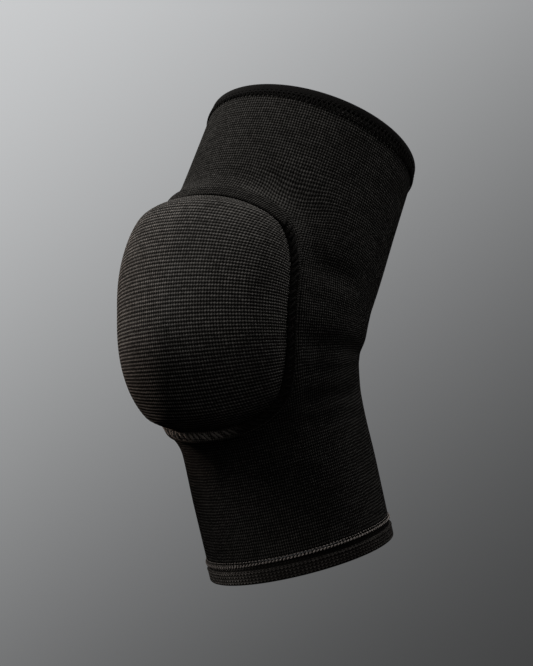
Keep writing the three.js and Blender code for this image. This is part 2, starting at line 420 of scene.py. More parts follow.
def painted_light_mask(points):
    """How much painted light falls on the pad's seam at points, from 0 to 1."""
    far = (PAINTED_LIGHT_BELOW - points[:, [0, 2]]) / PAINTED_LIGHT_FADE
    return np.clip(far, 0, 1).prod(axis=1)


def sewn_threads(settings, stitches, sides=6):
    """Short round threads that taper to a point at both ends.

    A stitch is the angles, heights and lifts of its points, and its radius.
    """
    mesh = bmesh.new()
    mesh.loops.layers.uv.new("Cloth")
    tones = mesh.verts.layers.float.new("Tone")
    for angle, height, lift, radius in stitches:
        rows = len(angle) - 1
        path = on_leg(settings, angle, height, lift)
        # The tone is the light painted on the seam's lower left
        tone = painted_light_mask(path)
        along = np.gradient(path, axis=0)
        beside = np.cross(along, on_leg(settings, angle, height, lift + MM) - path)
        over = np.cross(beside, along)
        beside /= np.linalg.norm(beside, axis=1, keepdims=True)
        over /= np.linalg.norm(over, axis=1, keepdims=True)
        for vertex in bmesh.ops.create_grid(mesh, x_segments=sides, y_segments=rows, size=0.5)["verts"]:
            row = round((vertex.co.y + 0.5) * rows)
            turn = 2 * math.pi * (vertex.co.x + 0.5)
            thick = radius * math.sin(math.pi * row / rows) ** THREAD_TAPER if 0 < row < rows else 0
            vertex.co = path[row] + thick * (math.cos(turn) * beside[row] + math.sin(turn) * over[row])
            vertex[tones] = tone[row]
    return close_mesh(mesh)


def add_object(name, mesh, material):
    """A smooth-shaded object from a bmesh, in the scene."""
    data = bpy.data.meshes.new(name)
    mesh.to_mesh(data)
    mesh.free()
    data.materials.append(material)
    data.shade_smooth()
    made = bpy.data.objects.new(name, data)
    bpy.context.scene.collection.objects.link(made)
    return made


def add_piece(name, mesh, material, node):
    """A piece of the knee pad that rides on its one body and stands for a solid."""
    piece = add_object(name, mesh, material)
    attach(piece, "root")
    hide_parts(node)
    return piece


# Materials

class Wire:
    """A socket in a material's node tree, which sums and further nodes start from."""

    def __init__(self, tree, socket=None):
        self.tree = tree
        self.socket = socket

    def node(self, kind, settings=None, inputs=None, output=0):
        """Adds a node with its settings, feeds its sockets and returns one of its outputs."""
        made = self.tree.nodes.new(kind)
        for name, value in (settings or {}).items():
            setattr(made, name, value)
        for name, value in (inputs or {}).items():
            self.feed(made.inputs[name], value)
        return Wire(self.tree, made.outputs[output])

    def feed(self, socket, value):
        """Links a wire to a socket, or sets the socket to a number or colour."""
        if isinstance(value, Wire):
            self.tree.links.new(value.socket, socket)
        else:
            socket.default_value = value

    def math(self, operation, *values):
        """A Math node on values."""
        return self.node("ShaderNodeMath", {"operation": operation}, dict(enumerate(values)))

    def __add__(self, other):
        return self.math("ADD", self, other)

    def __sub__(self, other):
        return self.math("SUBTRACT", self, other)

    def __rsub__(self, other):
        return self.math("SUBTRACT", other, self)

    def __mul__(self, other):
        return self.math("MULTIPLY", self, other)

    def __pow__(self, other):
        return self.math("POWER", self, other)

    __radd__ = __add__
    __rmul__ = __mul__

    def limit(self):
        """This value kept from 0 to 1."""
        return self.math("MAXIMUM", self.math("MINIMUM", self, 1.0), 0.0)

    def whole(self):
        """This value rounded down."""
        return self.math("FLOOR", self)

    def wave(self):
        """A wave of this value, 0 at whole numbers and 1 halfway between them."""
        return 0.5 - 0.5 * self.math("COSINE", self * (2 * math.pi))

    def varied(self, amount):
        """A factor that follows this value and is 1 where it is 0.5."""
        return (1 - amount / 2) + amount * self

    def mix(self, low, high):
        """A colour between two, by this value."""
        # Sockets of a Mix node share their names, so the two colours and the mixed one go by number
        inputs = {"Factor": self, 6: low, 7: high}
        return self.node("ShaderNodeMix", {"data_type": "RGBA"}, inputs, output=2)

    def shade(self, colour, shades):
        """A colour between two shades of itself, by this value."""
        return self.mix(*((*(channel * shade for channel in colour), 1.0) for shade in shades))


def new_material(name):
    """A node material: itself, a wire to its tree and its shader's sockets."""
    material = bpy.data.materials.new(name)
    material.use_nodes = True
    tree = material.node_tree
    return material, Wire(tree), tree.nodes["Principled BSDF"].inputs


def object_place(wire):
    """Place in the object's own coordinates."""
    return wire.node("ShaderNodeTexCoord", output="Object")


def cloth_place(wire):
    """Place on the cloth, counted in columns and rows of knit."""
    return wire.node("ShaderNodeUVMap", {"uv_map": "Cloth"})


def yarn_tone(wire):
    """Tone of the yarn or of the thread, from the mesh; on the sleeve, the pad's seam and the hem it
    carries painted light and shade.
    """
    return wire.node("ShaderNodeAttribute", {"attribute_name": "Tone"}, output="Fac")


def stretched(wire, place, scale):
    """A place scaled by a different number each way."""
    return wire.node("ShaderNodeMapping", None, {"Vector": place, "Scale": scale})


def noise(wire, place, scale, detail):
    """Smooth noise, about 0.5 on average."""
    return wire.node("ShaderNodeTexNoise", None, {"Vector": place, "Scale": scale, "Detail": detail})


def finish_cloth(wire, sockets, colour, roughness, bump, bump_height, sheen=0.0):
    """Feeds a cloth's colour, roughness and bump to its shader."""
    wire.feed(sockets["Base Color"], colour)
    wire.feed(sockets["Roughness"], roughness)
    inputs = {"Strength": 1.0, "Distance": bump_height, "Height": bump}
    wire.feed(sockets["Normal"], wire.node("ShaderNodeBump", None, inputs))
    sockets["Specular IOR Level"].default_value = 0.0
    sockets["Sheen Weight"].default_value = sheen
    sockets["Sheen Roughness"].default_value = 0.5


def knit_material(name, colour, row_share, bump_height, sway, vee=0.0, sharpness=2.1):
    """Knitted yarn: rows and columns of uneven loops with dark gaps, streaks along the rows and wear.

    row_share is how far the rows outdo the columns, sway how far both wander, vee bends the rows, and
    sharpness narrows the lit faces of the loops. The dark gaps are partly the knit's open holes and partly
    painted shade.
    """
    material, wire, sockets = new_material(name)
    cloth = cloth_place(wire)
    wander = sway * noise(wire, cloth, scale=0.22, detail=3.0)
    column = wire.node("ShaderNodeSeparateXYZ", None, {"Vector": cloth}, output="X") + wander
    row = wire.node("ShaderNodeSeparateXYZ", None, {"Vector": cloth}, output="Y") + wander
    row = row + vee * column.wave()
    knit = (row_share * row.wave() + (1 - row_share) * column.wave()) ** sharpness
    loop = wire.node("ShaderNodeCombineXYZ", None, {"X": column.whole(), "Y": row.whole()})
    loop_shade = wire.node("ShaderNodeTexWhiteNoise", {"noise_dimensions": "2D"}, {"Vector": loop})
    fibres = noise(wire, cloth, scale=1.6, detail=3.0)
    along_rows = stretched(wire, cloth, scale=(0.08, 1.0, 1.0))
    streaks = noise(wire, along_rows, scale=0.9, detail=2.0)
    wear = noise(wire, object_place(wire), scale=45.0, detail=4.0)
    light = yarn_tone(wire) * knit * loop_shade.varied(LOOP_SHADES) * streaks.varied(ROW_STREAKS)
    light = light * wear.varied(WEAR) * fibres.varied(FIBRES)
    tint = light.limit().shade(colour, KNIT_SHADES)
    finish_cloth(
        wire, sockets, tint, roughness=0.9 - 0.2 * knit, bump=knit + 0.35 * fibres, bump_height=bump_height)
    return material


def thread_material(name, colour, painted_light_colour):
    """Twisted sewing thread with fine fibres, paler where light is painted on it."""
    material, wire, sockets = new_material(name)
    fibres = noise(wire, object_place(wire), scale=1500.0, detail=2.0)
    plain_tint = fibres.shade(colour, THREAD_SHADES)
    painted_light_tint = fibres.shade(painted_light_colour, THREAD_SHADES)
    tint = yarn_tone(wire).mix(plain_tint, painted_light_tint)
    finish_cloth(wire, sockets, tint, roughness=0.9 - 0.3 * fibres, bump=fibres, bump_height=0.2 * MM)
    return material


def tape_material(name, colour):
    """Smooth tape with a fine lengthwise grain."""
    material, wire, sockets = new_material(name)
    along_tape = stretched(wire, cloth_place(wire), scale=(0.5, 3.0, 1.0))
    grain = noise(wire, along_tape, scale=2.0, detail=3.0)
    tint = grain.shade(colour, TAPE_SHADES)
    finish_cloth(
        wire, sockets, tint, roughness=0.72 - 0.25 * grain, bump=grain, bump_height=0.15 * MM, sheen=0.01)
    return material


# Pieces

class KNEEPAD_OT_pad(bpy.types.Operator):
    """Blows up the domed pad in its sewn edge and gives it the ribbed cover"""

    bl_idname = "knee_pad.pad"
    bl_label = "Pad"

    columns = 20
    rows = 45
    subdivisions = 3
    edge_pull = 0.25        # how far the grid is drawn out towards the pad's edge
    fan = 0.2               # how far the cover's columns spread towards its top and bottom
    line_points = 801       # on the dome's two middle lines, which measure the cover
    outline_points = 4001   # on the pad's outline, where the edge is looked up
    start_dome = 0.955      # share of the dome's height that the simulation starts from
    pressure = 4
    swell_steps = 20
    swell_limit = 1.6 * MM
    back_shares = (1.0, 0.85, 0.7, 0.55, 0.4, 0.25, 0.1, 0.0)

    def front(self, settings, across, up, dome_share):
        """Points of the smooth dome at shares across and up, each from -1 to 1."""
        pad = settings.pad
        slanted = 2 * np.abs(across * up) / np.maximum(across ** 2 + up ** 2, TINY)
        fullness = np.where(up > 0, pad.upper_fullness, pad.lower_fullness)
        reach = np.minimum(rounded_reach(pad, across, up), 1)
        swell = 1 - reach ** (pad.flatness + fullness * slanted ** 2)
        lift = settings.sleeve.gap + pad.edge + dome_share * pad.dome * swell ** (1 / pad.shoulder)
        points = on_leg(settings, *pad_place(pad, across, up, 0), lift)
        points[:, 2] -= pad.sag * swell
        return points

    def cloth_lines(self, settings):
        """Shares along the dome's two middle lines, and the columns and rows of the cover there."""
        pad = settings.pad
        line = np.linspace(-1, 1, self.line_points)
        level = reached_lengths(self.front(settings, line, 0 * line, 1)) / pad.wale_pitch
        upright = reached_lengths(self.front(settings, 0 * line, line, 1)) / pad.rib_pitch
        return line, level, upright

    def closer_to_edge(self, share):
        """Shares from -1 to 1 moved outwards, so that the grid is finer at the pad's edge."""
        return share * (1 + self.edge_pull - self.edge_pull * share ** 2)

    def cover(self, settings):
        """The cover's coarse grid, squeezed into the pad's rounded outline."""
        line, level, upright = self.cloth_lines(settings)

        def place(across, up):
            square = self.closer_to_edge(np.stack([2 * across - 1, 2 * up - 1]))
            disc = square * np.sqrt(1 - square[::-1] ** 2 / 2)
            rounded = disc * np.hypot(*disc) / np.maximum(rounded_reach(settings.pad, *disc), TINY)
            fanned = rounded[0] * (1 - self.fan * rounded[1] ** 2)
            column = np.interp(fanned, line, level)
            row = np.interp(rounded[1], line, upright)
            points = self.front(settings, *rounded, self.start_dome)
            return points, np.stack([column, row], axis=-1), np.ones_like(across)

        mesh = bent_grid(self.columns, self.rows, place)
        bmesh.ops.recalc_face_normals(mesh, faces=mesh.faces)
        return mesh

    def blow_up(self, context, cushion, edge):
        """Presses the cover out against its pinned edge, by a limited distance, and subdivides it."""
        data = cushion.data
        cushion.vertex_groups.new(name="Edge").add(edge, 1.0, "REPLACE")
        start = np.array([vertex.co for vertex in data.vertices])
        cloth = cushion.modifiers.new("Swell", "CLOTH")
        cloth.settings.vertex_group_mass = "Edge"
        cloth.settings.use_pressure = True
        cloth.settings.uniform_pressure_force = self.pressure
        cloth.settings.effector_weights.gravity = 0
        for step in range(1, self.swell_steps + 1):
            context.scene.frame_set(step)
        swollen = cushion.evaluated_get(context.evaluated_depsgraph_get()).data
        moved = np.array([vertex.co for vertex in swollen.vertices]) - start
        far = np.linalg.norm(moved, axis=1, keepdims=True)
        moved *= np.minimum(1, self.swell_limit / np.maximum(far, TINY))
        cushion.modifiers.remove(cloth)
        data.vertices.foreach_set("co", (start + moved).ravel())
        smooth = cushion.modifiers.new("Smooth", "SUBSURF")
        smooth.levels = smooth.render_levels = self.subdivisions
        smooth.boundary_smooth = "ALL"
        context.scene.frame_set(1)
        mesh = bmesh.new()
        mesh.from_object(cushion, context.evaluated_depsgraph_get())
        cushion.modifiers.remove(smooth)
        cushion.vertex_groups.clear()
        return mesh

    def raise_ribs(self, mesh, pad):
        """Lifts the rows of the cover into ribs."""
        cloth_map = mesh.loops.layers.uv["Cloth"]
        mesh.normal_update()
        for vertex in mesh.verts:
            row = vertex.link_loops[0][cloth_map].uv.y
            vertex.co -= vertex.normal * pad.rib_height * (0.5 + 0.5 * math.cos(2 * math.pi * row))

    def close_back(self, mesh, settings):
        """Carries the edge down to the sleeve and closes the back in shrinking rings."""
        pad = settings.pad
        edges = [edge for edge in mesh.edges if edge.is_boundary]
        ring = list({vertex for edge in edges for vertex in edge.verts})
        places = dict(zip(ring, self.edge_places(ring, settings)))
        for share in self.back_shares:
            made = bmesh.ops.extrude_edge_only(mesh, edges=edges)["geom"]
            ring = [item for item in made if isinstance(item, bmesh.types.BMVert)]
            plain_tint = set(ring)
            edges = [item for item in made if isinstance(item, bmesh.types.BMEdge)]
            edges = [edge for edge in edges if plain_tint.issuperset(edge.verts)]
            places = {vertex: self.place_behind(vertex, places) for vertex in ring}
            across, up = share * np.array([places[vertex] for vertex in ring]).T
            points = on_leg(settings, *pad_place(pad, across, up, 0), settings.sleeve.gap)
            for vertex, point in zip(ring, points):
                vertex.co = point
        return close_mesh(mesh)

    def edge_places(self, ring, settings):
        """Shares across and up of the vertices on the pad's edge, read from their places on the leg."""
        turns = np.linspace(0, 2 * np.pi, self.outline_points)
        across, up = np.cos(turns), np.sin(turns)
        outline = np.stack([across, up], axis=-1) / rounded_reach(settings.pad, across, up)[:, None]
        points = self.front(settings, *outline.T, 1)
        tree = KDTree(len(points))
        for index, point in enumerate(points):
            tree.insert(point, index)
        tree.balance()
        return outline[[tree.find(vertex.co)[1] for vertex in ring]]

    def place_behind(self, vertex, places):
        """Outline place of the vertex that a new one was extruded from."""
        others = (edge.other_vert(vertex) for edge in vertex.link_edges)
        return next(places[other] for other in others if other in places)

    def execute(self, context):
        settings = context.scene.knee_pad
        material = knit_material(
            "pad_cover", settings.finishes.pad, row_share=0.62, bump_height=0.5 * MM, sway=0.15)
        mesh = self.cover(settings)
        edge = [vertex.index for vertex in mesh.verts if vertex.is_boundary]
        cushion = add_piece("pad_cushion", mesh, material, "knee_pad")
        mesh = self.blow_up(context, cushion, edge)
        self.raise_ribs(mesh, settings.pad)
        self.close_back(mesh, settings)
        mesh.to_mesh(cushion.data)
        mesh.free()
        cushion.data.shade_smooth()
        return {"FINISHED"}


class KNEEPAD_OT_seam(bpy.types.Operator):
    """Lays the sewn band round the pad, its slanted stitches and the lip of cloth along it"""

    bl_idname = "knee_pad.seam"
    bl_label = "Pad Seam"

    columns = 420
    outline_points = 2001   # on the middle of the band, which measure its length
    # Section of the band: share of its width from the pad outwards, and share of its height
    section = (
        (0.0, 0.0), (0.0, 0.2), (0.06, 0.3), (0.2, 0.34), (0.4, 0.3),
        (0.6, 0.3), (0.8, 0.26), (0.98, 0.2), (1.0, 0.1), (1.0, 0.0))
    # Section of the lip of cloth on the band, narrow at the sides and laid over the stitches at the top
    side_lip = (
        (0.82, 0.0), (0.82, 0.25), (0.83, 0.4), (0.86, 0.5), (0.9, 0.54),
        (0.93, 0.52), (0.96, 0.44), (0.98, 0.32), (1.0, 0.2), (1.0, 0.0))
    top_lip = (
        (0.03, 0.0), (0.03, 0.3), (0.06, 0.42), (0.14, 0.5), (0.3, 0.5),
        (0.5, 0.46), (0.7, 0.42), (0.95, 0.3), (1.15, -0.12), (1.15, -0.16))
    rolled_span = (0.2, 0.8)    # sines of the turns between which the lip rolls over the stitches
    hidden_from = 0.96          # how far the lip is rolled where it hides the stitches
    narrowing = 0.24            # share of its width that the band loses at the sides
    dark_tone = 0.065           # tone of the band away from the painted light
    side_tone = 0.67            # how much paler the lip is at the sides
    # Least and most of a stitch: its slip along the band and its lean, in stitches, and its share of the
    # band's width
    least_stitch = (-0.2, 0.8, 0.58)
    most_stitch = (0.2, 1.5, 0.76)
    seed = 5
    stitch_points = 8
    thread_radius = 0.75 * MM
    thickening = 0.5            # how much thicker the stitches are where the lip starts to hide them
    start_out = 0.05            # where the stitches start, as a share of the band's width
    # Rise of a stitch, as shares of the band's height
    start_rise = 0.25
    climb = 0.2                 # from its start to its end
    crown = 0.1                 # of its bow
    lip_rise = 0.35             # where the lip rolls over it
    crown_fullness = 0.7        # exponent of the bow

    def band_place(self, settings, turn, out):
        """Angle and height on the band: turn runs round the pad, out from 0 at the pad to 1 outside."""
        pad = settings.pad
        across, up = np.cos(turn), np.sin(turn)
        reach = rounded_reach(pad, across, up)
        width = pad.seam_width * (1 - self.narrowing * across ** 2)
        return pad_place(pad, across / reach, up / reach, settings.sleeve.gap + out * width)

    def even_turns(self, settings):
        """Turns round the pad and the lengths along the band that they have reached."""
        turns = np.linspace(0, 2 * np.pi, self.outline_points)
        points = on_leg(settings, *self.band_place(settings, turns, 0.5), 0)
        return turns, reached_lengths(points)

    def rolled(self, turn):
        """How far the lip is rolled over the stitches, from 0 at the sides to 1 at the top."""
        return smooth_step(np.sin(turn), *self.rolled_span)

    def ring(self, settings, turns, lengths, section, tone):
        """A ring round the pad.

        section gives shares of the band's width and height at steps round it, and tone the yarn's tone.
        """
        pad, sleeve = settings.pad, settings.sleeve
        last = len(self.section)

        def place(across, up):
            turn = np.interp((across % 1) * lengths[-1], lengths, turns)
            out, rise = section(np.rint(up * last).astype(int), turn)
            angle, height = self.band_place(settings, turn, out)
            cloth = np.stack([across * lengths[-1], up * 2 * pad.seam_width], axis=-1)
            points = on_leg(settings, angle, height, sleeve.gap + rise * pad.seam_height)
            return points, cloth / sleeve.knee_pitch, tone(turn, points)

        return close_mesh(bent_grid(self.columns, last, place))

    def band_section(self, step, turn):
        """The flat band's section, the same all round."""
        return np.array(self.section)[step % len(self.section)].T

    def band_tone(self, turn, points):
        """Tone of the band, which is pale only where light is painted on it, at the seam's lower left."""
        return self.dark_tone + (1 - self.dark_tone) * painted_light_mask(points)

    def lip_section(self, step, turn):
        """The lip's section, which widens towards the top."""
        sections = (self.side_lip, self.top_lip)
        side, top = (np.array(section)[step % len(section)].T for section in sections)
        return side + (top - side) * self.rolled(turn)

    def lip_tone(self, turn, points):
        """Tone of the lip, which is paler at the sides."""
        return 1 + self.side_tone * (1 - self.rolled(turn))

    def overlock(self, settings, turns, lengths):
        """Uneven slanted stitches across the open part of the band."""
        pad, gap = settings.pad, settings.sleeve.gap
        count = round(lengths[-1] / pad.stitch_pitch)
        share = np.linspace(0, 1, self.stitch_points)
        crown = self.crown * np.sin(np.pi * share) ** self.crown_fullness
        uneven = np.random.default_rng(self.seed)
        for stitch in range(count):
            slip, lean, width = uneven.uniform(self.least_stitch, self.most_stitch)
            along = (stitch + slip + lean * (share - 0.5)) / count % 1 * lengths[-1]
            turn = np.interp(along, lengths, turns)
            rolled = self.rolled(turn)
            if rolled.max() < self.hidden_from:
                angle, height = self.band_place(settings, turn, self.start_out + width * share)
                rise = self.start_rise + self.climb * share + crown + self.lip_rise * rolled
                radius = self.thread_radius * (1 + self.thickening * rolled.max())
                yield angle, height, gap + pad.seam_height * rise, radius

    def execute(self, context):
        settings = context.scene.knee_pad
        finishes = settings.finishes
        turns, lengths = self.even_turns(settings)
        band = self.ring(settings, turns, lengths, self.band_section, self.band_tone)
        # The band takes the painted-lit thread colour, darkened by its tone away from the painted light
        weave = knit_material(
            "seam_band", finishes.painted_lit_thread, row_share=0.5, bump_height=0.3 * MM, sway=0.3)
        add_piece("seam_band", band, weave, "pad_seam")
        lip = self.ring(settings, turns, lengths, self.lip_section, self.lip_tone)
        knit = knit_material("seam_lip", finishes.lip, row_share=0.45, bump_height=0.4 * MM, sway=0.7)
        add_piece("seam_lip", lip, knit, "pad_seam")
        thread = thread_material("seam_thread", finishes.thread, finishes.painted_lit_thread)
        threads = sewn_threads(settings, self.overlock(settings, turns, lengths))
        add_piece("seam_stitches", threads, thread, "pad_seam")
        return {"FINISHED"}


class KNEEPAD_OT_binding(bpy.types.Operator):
    """Folds the binding over the sleeve's top edge and sews it down"""

    bl_idname = "knee_pad.binding"
    bl_label = "Top Binding"

    columns = 256
    rim = 1.2 * MM              # radius of the fold along the top
    rim_rows = 8
    soft_low = 0.3 * MM         # rounding of the tape's lower edge inwards and of its dent downwards
    soft_high = 0.4 * MM        # rounding of both upwards
    stitches = 132
    thread_radius = 0.42 * MM
    dash_height = 1.4 * MM      # of the dashes over the tape's lower edge
    dash_length = 2.4 * MM
    dash_sink = 0.3 * MM        # how deep they start in the tape
    dash_bow = 0.35 * MM
    dent = 0.2 * MM             # how deep they press it
    zigzag_top = 0.6 * MM       # upper ends of the zigzag over the tape's lower edge
    zigzag_height = 3.6 * MM
    zigzag_spread = 1.1         # how much taller it is at the sides of the knee
    zigzag_bow = 0.5 * MM

    def topstitch(self, radius, height, lift):
        """A row of dashes round the tape."""
        level = np.full_like(STITCH, height)
        bow = np.sin(np.pi * STITCH)
        for start in np.linspace(0, 2 * np.pi, self.stitches, endpoint=False):
            angle = start + STITCH * self.dash_length / radius
            yield angle, level, lift - self.dash_sink + self.dash_bow * bow, self.thread_radius

    def zigzag(self, high, lift):
        """Slanted stitches that cover the tape's lower edge, leaning both ways in turn."""
        step = np.pi / self.stitches
        bow = np.sin(np.pi * STITCH)
        for stitch in range(2 * self.stitches):
            lean = step * (1 if stitch % 2 else -1)
            angle = stitch * step + lean * (STITCH - 0.5)
            reach = self.zigzag_height * (1 + self.zigzag_spread * np.sin(stitch * step) ** 2)
            height = high - reach * (1 - STITCH)
            yield angle, height, lift * STITCH + self.zigzag_bow * bow, self.thread_radius

    def execute(self, context):
        settings = context.scene.knee_pad
        sleeve, finishes = settings.sleeve, settings.finishes
        fold = sleeve.binding_thickness
        low = TOP - sleeve.binding_height
        outside = sleeve.binding_lift
        inside = -sleeve.wall - outside
        rim = self.rim
        sewn = low + self.dash_height
        outline = [(low, outside - fold), (low, outside - self.soft_low), (low + self.soft_high, outside)]
        outline += [(sewn - self.soft_low, outside), (sewn, outside - self.dent)]
        outline += [(sewn + self.soft_high, outside)]
        outline += arc(TOP - rim, outside - rim, rim, 0, 90, self.rim_rows)
        outline += arc(TOP - rim, inside + rim, rim, 90, 180, self.rim_rows)
        outline += [(low, inside), (low, inside + fold)]
        outline += [(TOP - fold, inside + fold), (TOP - fold, outside - fold)]
        mesh = ring_grid(settings, outline, self.columns, sleeve.wales)
        tape = tape_material("binding_tape", finishes.binding)
        add_piece("binding_tape", mesh, tape, "top_binding")
        thread = thread_material("binding_thread", finishes.binding, finishes.binding)
        rows = [*self.topstitch(settings.pad.front_radius, sewn, outside)]
        rows += self.zigzag(low + self.zigzag_top, outside)
        threads = sewn_threads(settings, rows)
        add_piece("binding_stitches", threads, thread, "top_binding")
        return {"FINISHED"}


class KNEEPAD_OT_hem(bpy.types.Operator):
    """Turns up the hem at the bottom edge and sews it along its ridge"""

    bl_idname = "knee_pad.hem"
    bl_label = "Bottom Hem"

    columns = 256
    turn = 1.3 * MM             # radius of the turned bottom edge
    turn_rows = 6
    band_rows = 8
    lip = 0.5 * MM              # radius of the lip along the flat band's upper edge
    lip_rise = 0.25 * MM
    lip_rows = 6
    groove_depth = 1.1 * MM
    groove_slope = 0.3 * MM     # height of the groove's sloping sides
    groove_rows = 7
    ridge_rows = 10
    tuck = 0.4 * MM             # how deep the ridge's upper edge is tucked in
    wide_span = (-0.15, 0.4)    # sines of the angles between which the ridge's wider sewing ends
    painted_shade_tone = 0.25          # painted shade: tone of the yarn towards +X, where the ridge is sewn narrow
    groove_painted_shade = 0.85          # how much darker the groove is painted: painted shade
    lip_painted_highlight = 0.6              # how much paler the lip is painted: painted highlight
    dark_reach = 0.5            # half height of the painted shade as a share of the groove's
    dark_loss = 0.15            # how much of that share is lost on the wider side
    dark_drop = 0.7 * MM        # how much lower the dark lies there
    stitches = 160
    stitch_length = 2.1 * MM
    # Beads of thread over the ridge
    bead_radius = 0.55 * MM
    bead_low = 1.4              # their ends below the ridge's top, in half ridges
    bead_high = 0.2
    bead_reach = 1.5 * MM       # how much lower they end on the wider side
    bead_sink = 0.7 * MM        # how deep their ends are in the ridge
    bead_bow = 0.5 * MM
    # Thread that shows on the sleeve above the hem
    thread_radius = 0.3 * MM
    thread_height = 0.9 * MM
    thread_bow = 0.3 * MM

    def wider(self, angle):
        """1 on the side where the ridge is sewn wider and 0 on the other."""
        return 1 - smooth_step(np.sin(angle), *self.wide_span)

    def sewing(self, settings, high, ridge):
        """Beads over the ridge and the thread above it."""
        level = np.full_like(STITCH, high + self.thread_height)
        bow = np.sin(np.pi * STITCH)
        lift = settings.sleeve.hem_lift - self.bead_sink + self.bead_bow * bow
        for start in np.linspace(0, 2 * np.pi, self.stitches, endpoint=False):
            angle = start + STITCH * self.stitch_length / settings.pad.front_radius
            low = self.bead_low * ridge + self.bead_reach * self.wider(start)
            height = high - low + STITCH * (low - self.bead_high * ridge)
            yield angle, height, lift, self.bead_radius
            yield angle, level, self.thread_bow * (bow - 1), self.thread_radius

    def execute(self, context):
        settings = context.scene.knee_pad
        sleeve, finishes = settings.sleeve, settings.finishes
        proud = sleeve.hem_lift
        inside = -sleeve.wall - proud
        high = BOTTOM + sleeve.hem_height
        ridge = sleeve.hem_ridge / 2
        ridge_low = high - 2 * ridge
        band_high = ridge_low - sleeve.hem_groove
        turn, lip = self.turn, self.lip
        band = np.linspace(BOTTOM + 2 * turn, band_high - 3 * lip, self.band_rows)
        floor = np.linspace(band_high + self.groove_slope, ridge_low - self.groove_slope, self.groove_rows)
        outline = arc(BOTTOM + turn, inside + turn, turn, 180, 270, self.turn_rows)
        outline += arc(BOTTOM + turn, proud - turn, turn, -90, 0, self.turn_rows)
        outline += [(height, proud) for height in band]
        outline += arc(band_high - lip, proud - lip + self.lip_rise, lip, -30, 90, self.lip_rows)
        outline += [(height, proud - self.groove_depth) for height in floor]
        outline += arc(high - ridge, proud - ridge, ridge, -70, 60, self.ridge_rows)
        outline += [(high, -self.tuck), (high, -sleeve.wall), (band_high, inside)]

        def tone(angle, height):
            """Painted shade in the groove, painted highlight along the lip, and painted light towards -X,
            where the ridge is sewn wider.
            """
            wide = self.wider(angle)
            below = height - (band_high + ridge_low) / 2 + wide * self.dark_drop
            reach = sleeve.hem_groove * (self.dark_reach - self.dark_loss * wide)
            dark = np.exp(-((below / reach) ** 4))
            pale = np.exp(-(((height - band_high) / (2 * lip)) ** 2))
            plain = self.painted_shade_tone + (1 - self.painted_shade_tone) * wide
            return plain * (1 - self.groove_painted_shade * dark + self.lip_painted_highlight * pale)

        mesh = ring_grid(settings, outline, self.columns, sleeve.hem_wales, tone)
        knit = knit_material(
            "hem_knit", finishes.hem, row_share=0.55, bump_height=0.5 * MM, sway=0.3, vee=0.5)
        add_piece("hem_cloth", mesh, knit, "bottom_hem")
        thread = thread_material("hem_thread", finishes.hem_thread, finishes.hem_thread)
        threads = sewn_threads(settings, self.sewing(settings, high, ridge))
        add_piece("hem_stitches", threads, thread, "bottom_hem")
        return {"FINISHED"}


class KNEEPAD_OT_sleeve(bpy.types.Operator):
    """Knits the bent sleeve, pinched at the top where the binding grips it"""

    bl_idname = "knee_pad.sleeve"
    bl_label = "Sleeve"

    columns = 256
    outer_rows = 200
    inner_rows = 60
    painted_highlight_tone = 0.8              # how much paler the cloth is painted where it is pulled up to the pad: painted highlight
    relaxed_size = (0.34, 0.27)     # round and along the knit before it was stretched
    sewn_on = (
        "binding_tape", "binding_stitches", "hem_cloth", "hem_stitches", "seam_band", "seam_lip",
        "seam_stitches")

    def execute(self, context):
        settings = context.scene.knee_pad
        sleeve = settings.sleeve
        low = BOTTOM + sleeve.hem_height + sleeve.gap
        grip_low = TOP - sleeve.binding_height - sleeve.gap
        grip_high = TOP - sleeve.binding_thickness - sleeve.gap
        pinch = sleeve.binding_thickness - sleeve.binding_lift + sleeve.gap
        outside = np.linspace(low, grip_low - pinch, self.outer_rows)
        inside = np.linspace(grip_low - pinch, low, self.inner_rows)
        outline = [(height, 0) for height in outside]
        outline += [(grip_low, -pinch), (grip_high, -pinch)]
        outline += [(grip_high, pinch - sleeve.wall), (grip_low, pinch - sleeve.wall)]
        outline += [(height, -sleeve.wall) for height in inside]

        def tone(angle, height):
            """Painted highlight: paler where the cloth is pulled over the pad's upper edge."""
            pulled = flare(settings, angle, height) * smooth_step(height, 0, settings.pad.high)
            return 1 + self.painted_highlight_tone * pulled

        mesh = ring_grid(settings, outline, self.columns, sleeve.wales, tone)
        knit = knit_material(
            "sleeve_knit", settings.finishes.sleeve, row_share=0.45, bump_height=0.4 * MM, sway=0.7)
        piece = add_piece("sleeve_cloth", mesh, knit, "sleeve")
        sewn_on = [bpy.data.objects[name] for name in self.sewn_on]
        return {"FINISHED"}


# Stage

